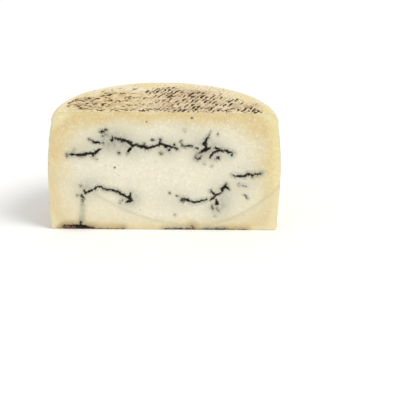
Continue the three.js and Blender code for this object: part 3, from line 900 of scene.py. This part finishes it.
def mat_rind():
    """Natural rind with the print of a woven mat: cream ridges, dark paste in the pressed bars."""
    material, tree = new_material("natural_rind_mat_printed")
    place = add(tree, "ShaderNodeTexCoord").outputs["Object"]
    ground, mottle = rind_ground(tree, place)
    stain, marks, strip = (add(tree, "ShaderNodeAttribute", attribute_name=name).outputs["Fac"]
                           for name in ("stain", "mat_ink", "strip"))

    # The print is crisp on the right and worn on the left
    plan = add(tree, "ShaderNodeSeparateXYZ", {0: place})
    crisp = add(tree, "ShaderNodeMapRange", {"Value": plan.outputs["X"], "From Min": WORN_LEFT_OF * MM,
                                             "From Max": (WORN_LEFT_OF + WORN_WIDTH) * MM, "To Min": 0.1})

    # Pinker where the mat lay and yellower where it is worn, under a tan film, uneven as if wiped on
    under_mat = add(tree, "ShaderNodeMix", {0: crisp, 6: linear(RIND_WORN), 7: linear(RIND_PRINTED)},
                    data_type="RGBA")
    lain = add(tree, "ShaderNodeMapRange",
               {"Value": stain, "From Min": 0.08, "From Max": 0.35, "To Max": 0.85})
    pale = add(tree, "ShaderNodeMix", {0: lain, 6: ground, 7: under_mat}, data_type="RGBA")
    smear = add(tree, "ShaderNodeTexNoise", {"Vector": place, "Scale": per_metre(FILM_SIZE), "Detail": 5})
    thick = add(tree, "ShaderNodeMapRange",
                {"Value": smear, "From Min": 0.34, "From Max": 0.66, "To Min": 0.1, "To Max": 1.45})
    film = add(tree, "ShaderNodeMath", {0: stain, 1: thick}, operation="MULTIPLY")
    filmed = add(tree, "ShaderNodeMix", {0: film, 6: pale, 7: linear(RIND_TAN)}, data_type="RGBA")

    # Bars side by side. They sway a little, and each starts and stops at a place of its own
    print_map = add(tree, "ShaderNodeUVMap", uv_map="print")
    axes = add(tree, "ShaderNodeSeparateXYZ", {0: print_map})
    sway = add(tree, "ShaderNodeTexNoise",
               {"Vector": place, "Scale": per_metre(MAT_SWAY_SIZE), "Detail": 1})
    swayed = add(tree, "ShaderNodeMath", {0: sway, 1: 0.9, 2: axes.outputs["X"]}, operation="MULTIPLY_ADD")
    centred = add(tree, "ShaderNodeMath", {0: swayed, 1: 0.45}, operation="SUBTRACT")
    column = add(tree, "ShaderNodeMath", {0: centred}, operation="FLOOR")
    start = add(tree, "ShaderNodeTexWhiteNoise", {"W": column}, noise_dimensions="1D")
    slid = add(tree, "ShaderNodeMath", {0: start.outputs["Value"], 1: axes.outputs["Y"]}, operation="ADD")
    row = add(tree, "ShaderNodeMath", {0: slid}, operation="FLOOR")
    bars = bar_pattern(tree, centred, slid, MAT_INK_SIDES, MAT_INK_ENDS, 0.1)

    # Each bar holds its own amount of dark paste, drawn out along the bar in streaks
    cell = add(tree, "ShaderNodeCombineXYZ", {0: column, 1: row})
    chance = add(tree, "ShaderNodeTexWhiteNoise", {"Vector": cell}, noise_dimensions="2D")
    held = add(tree, "ShaderNodeMapRange",
               {"Value": chance.outputs["Value"], "From Min": 0.05, "To Max": 1.9})
    drawn = add(tree, "ShaderNodeVectorMath", {0: print_map, 1: STREAKS}, operation="MULTIPLY")
    streaks = add(tree, "ShaderNodeTexNoise", {"Vector": drawn, "Scale": 1, "Detail": 3})
    streaky = add(tree, "ShaderNodeMapRange",
                  {"Value": streaks, "From Min": 0.35, "From Max": 0.62, "To Min": 0.1, "To Max": 1.5})
    pasted = add(tree, "ShaderNodeMath", {0: stain, 1: 0.7, 2: marks}, operation="MULTIPLY_ADD")
    dark = bars
    for share in (held, streaky, pasted, crisp):
        dark = add(tree, "ShaderNodeMath", {0: dark, 1: share}, operation="MULTIPLY")

    # Flecks of the same paste, most of them on the worn side and along the cut
    flecks = add(tree, "ShaderNodeTexNoise", {"Vector": place, "Scale": per_metre(FLECK_SIZE), "Detail": 4})
    fleck = add(tree, "ShaderNodeMapRange", {"Value": flecks, "From Min": 0.51, "From Max": 0.67})
    strewn = add(tree, "ShaderNodeMapRange", {"Value": crisp, "To Min": 1.75, "To Max": 0.6})
    clumped = add(tree, "ShaderNodeMath", {0: strewn, 1: thick}, operation="MULTIPLY")
    flecked = add(tree, "ShaderNodeMath", {0: pasted, 1: clumped, 2: 0.03}, operation="MULTIPLY_ADD")
    edged = add(tree, "ShaderNodeMath", {0: flecked, 1: strip}, operation="ADD")
    flecks_on = add(tree, "ShaderNodeMath", {0: fleck, 1: edged}, operation="MULTIPLY")
    printed = add(tree, "ShaderNodeMath", {0: dark, 1: flecks_on}, operation="MAXIMUM")
    ink = add(tree, "ShaderNodeMath", {0: printed, 1: rind_dots(tree, place, MAT_DOT_SPACING)},
              operation="MAXIMUM")
    ink_rind(tree, filmed, mottle, bars, ink, MAT_DEPTH)
    return material


def basket_rind():
    """Natural rind with the print of a plaited basket: upright bars in blocks, some filled dark."""
    material, tree = new_material("natural_rind_basket_printed")
    place = add(tree, "ShaderNodeTexCoord").outputs["Object"]
    ground, mottle = rind_ground(tree, place)
    print_map = add(tree, "ShaderNodeUVMap", uv_map="print")
    axes = add(tree, "ShaderNodeSeparateXYZ", {0: print_map})
    sway = add(tree, "ShaderNodeTexNoise",
               {"Vector": place, "Scale": per_metre(BASKET_SWAY_SIZE), "Detail": 2})
    counted = add(tree, "ShaderNodeMath", {0: axes.outputs["X"], 1: BARS_PER_BLOCK, 2: sway},
                  operation="MULTIPLY_ADD")
    fine = add(tree, "ShaderNodeMath", {0: counted, 1: 0.5}, operation="SUBTRACT")
    bars = bar_pattern(tree, fine, axes.outputs["Y"], BASKET_INK_SIDES, BASKET_INK_ENDS, 0)
    block = add(tree, "ShaderNodeVectorMath", {0: print_map}, operation="FLOOR")
    chance = add(tree, "ShaderNodeTexWhiteNoise", {"Vector": block}, noise_dimensions="2D")
    dark = add(tree, "ShaderNodeMapRange", {"Value": chance.outputs["Value"], "From Min": 0.55,
                                            "From Max": 0.9, "To Min": 0.08, "To Max": 1.3})
    blotch = add(tree, "ShaderNodeTexNoise",
                 {"Vector": place, "Scale": per_metre(BASKET_BLOTCH_SIZE), "Detail": 5})
    patchy = add(tree, "ShaderNodeMapRange", {"Value": blotch, "From Min": 0.38, "From Max": 0.6})
    crumb = add(tree, "ShaderNodeTexNoise",
                {"Vector": place, "Scale": per_metre(BASKET_CRUMB_SIZE), "Detail": 3})
    broken = add(tree, "ShaderNodeMapRange",
                 {"Value": crumb, "From Min": 0.36, "From Max": 0.6, "To Min": 0.1, "To Max": 1.3})
    amount = add(tree, "ShaderNodeMath", {0: dark, 1: patchy}, operation="MULTIPLY")
    inward = add(tree, "ShaderNodeMath", {0: axes.outputs["X"], 1: 0.5}, operation="PINGPONG")
    upward = add(tree, "ShaderNodeMath", {0: axes.outputs["Y"], 1: 0.5}, operation="PINGPONG")
    nearest = add(tree, "ShaderNodeMath", {0: inward, 1: upward}, operation="MINIMUM")
    haze = add(tree, "ShaderNodeMapRange", {"Value": nearest, "From Max": 0.2, "To Max": amount},
               interpolation_type="SMOOTHSTEP")
    hazed = add(tree, "ShaderNodeMix", {0: haze, 6: ground, 7: linear(HAZE_TAN)}, data_type="RGBA")
    filled = amount
    for share in (bars, broken):
        filled = add(tree, "ShaderNodeMath", {0: filled, 1: share}, operation="MULTIPLY")
    ink = add(tree, "ShaderNodeMath", {0: filled, 1: rind_dots(tree, place, BASKET_DOT_SPACING)},
              operation="MAXIMUM")
    ink_rind(tree, hazed, mottle, bars, ink, BASKET_DEPTH)
    return material


# Studio

FLOOR_SIZE = 12
FLOOR_WHITE = "#fefefe"
SKY_STRENGTH = 0.7
KEY_STRENGTH = 1.27
KEY_SPREAD = math.radians(25)
KEY_HEIGHT = math.radians(57)
KEY_TURN = math.radians(63)


def studio_floor():
    """A plain white sheet, far wider than the view."""
    bm = bmesh.new()
    bmesh.ops.create_grid(bm, x_segments=1, y_segments=1, size=FLOOR_SIZE / 2)
    mesh = bpy.data.meshes.new("floor")
    bm.to_mesh(mesh)
    bm.free()
    material, tree = new_material("matt_white_sheet")
    shader = add(tree, "ShaderNodeBsdfDiffuse", {"Color": linear(FLOOR_WHITE)})
    add(tree, "ShaderNodeOutputMaterial", {"Surface": shader})
    mesh.materials.append(material)
    floor = bpy.data.objects.new("floor", mesh)
    bpy.context.collection.objects.link(floor)


def direction(turn, height):
    """Towards a point at the given turn to the right of the front, and at the given height."""
    return Vector((math.sin(turn) * math.cos(height), -math.cos(turn) * math.cos(height), math.sin(height)))


def studio_light():
    """An even white surround, and one broad soft light from the right and the front."""
    world = bpy.data.worlds.new("studio")
    world.use_nodes = True
    tree = world.node_tree
    tree.nodes.clear()
    sight = add(tree, "ShaderNodeLightPath").outputs["Is Camera Ray"]
    strength = add(tree, "ShaderNodeMapRange", {"Value": sight, "To Min": SKY_STRENGTH})
    back = add(tree, "ShaderNodeBackground", {"Color": (1, 1, 1, 1), "Strength": strength})
    add(tree, "ShaderNodeOutputWorld", {"Surface": back})
    bpy.context.scene.world = world
    key = bpy.data.lights.new("key", "SUN")
    key.energy = KEY_STRENGTH
    key.angle = KEY_SPREAD
    lamp = bpy.data.objects.new("key", key)
    lamp.rotation_euler = direction(KEY_TURN, KEY_HEIGHT).to_track_quat("Z", "Y").to_euler()
    bpy.context.collection.objects.link(lamp)


# The photograph's view, as read from the outline: where the camera looks and from where
FRAME_PIXELS = 400
SENSOR = 36
VIEW_CENTRE_PIXEL = (164.3, 175.6)
VIEW_FOCAL_PIXELS = 1279.4
VIEW_DISTANCE = 1.2
VIEW_ELEVATION = math.radians(20.69)
VIEW_TURN = math.radians(0.45)
VIEW_ROLL = math.radians(0.54)
VIEW_HEIGHT = 55 * MM


def studio_camera():
    """A long lens from a little above, level with the cut, with the frame shifted as in the photograph."""
    camera = bpy.data.cameras.new("camera")
    camera.sensor_width = SENSOR
    camera.lens = VIEW_FOCAL_PIXELS / FRAME_PIXELS * SENSOR
    camera.shift_x = 0.5 - VIEW_CENTRE_PIXEL[0] / FRAME_PIXELS
    camera.shift_y = VIEW_CENTRE_PIXEL[1] / FRAME_PIXELS - 0.5
    target = CUT_FOOT + Vector((0, 0, VIEW_HEIGHT))
    back = direction(-VIEW_TURN, VIEW_ELEVATION)
    viewer = bpy.data.objects.new("camera", camera)
    turn = back.to_track_quat("Z", "Y").to_matrix().to_4x4() @ Matrix.Rotation(VIEW_ROLL, 4, "Z")
    viewer.matrix_world = Matrix.Translation(target + back * VIEW_DISTANCE) @ turn
    bpy.context.collection.objects.link(viewer)
    bpy.context.scene.camera = viewer
    bpy.context.scene.view_settings.view_transform = "Standard"


studio_camera()
cheese = half_wheel()
for finish in (cut_paste(), mat_rind(), basket_rind()):
    cheese.data.materials.append(finish)
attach(cheese, "root")
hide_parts(NODE)
studio_floor()
studio_light()
